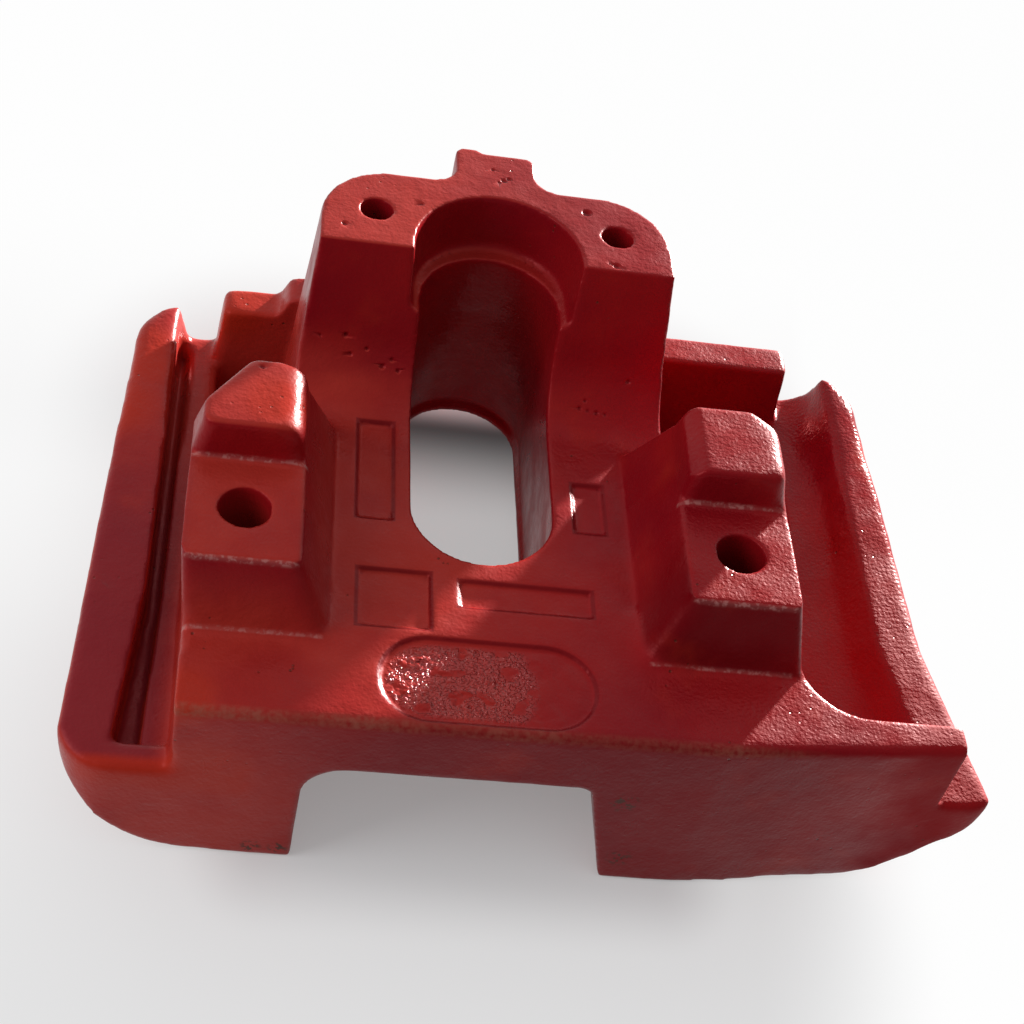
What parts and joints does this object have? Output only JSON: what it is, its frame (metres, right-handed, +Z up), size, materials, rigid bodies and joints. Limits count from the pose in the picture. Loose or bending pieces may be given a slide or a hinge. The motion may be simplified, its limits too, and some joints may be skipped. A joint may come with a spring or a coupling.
{
  "type": "telehandler ballast weight",
  "caption": "Cast ballast weight: tower with open vertical channel, slotted slab, bolting pads with posts, rimmed side wings and a tunnel underneath.",
  "frame": {"origin": "midway between the bolt holes of the two pads, on the pads' top face", "axes": "+X to the right along the line of the pad holes, +Y towards the tower, +Z up out of the pads"},
  "size_m": [0.4897, 0.362, 0.199],
  "materials": {
    "painted_iron": "gloss red paint"
  },
  "bodies": {
    "root": {"ballast_casting": "painted_iron"}
  },
  "joints": []
}
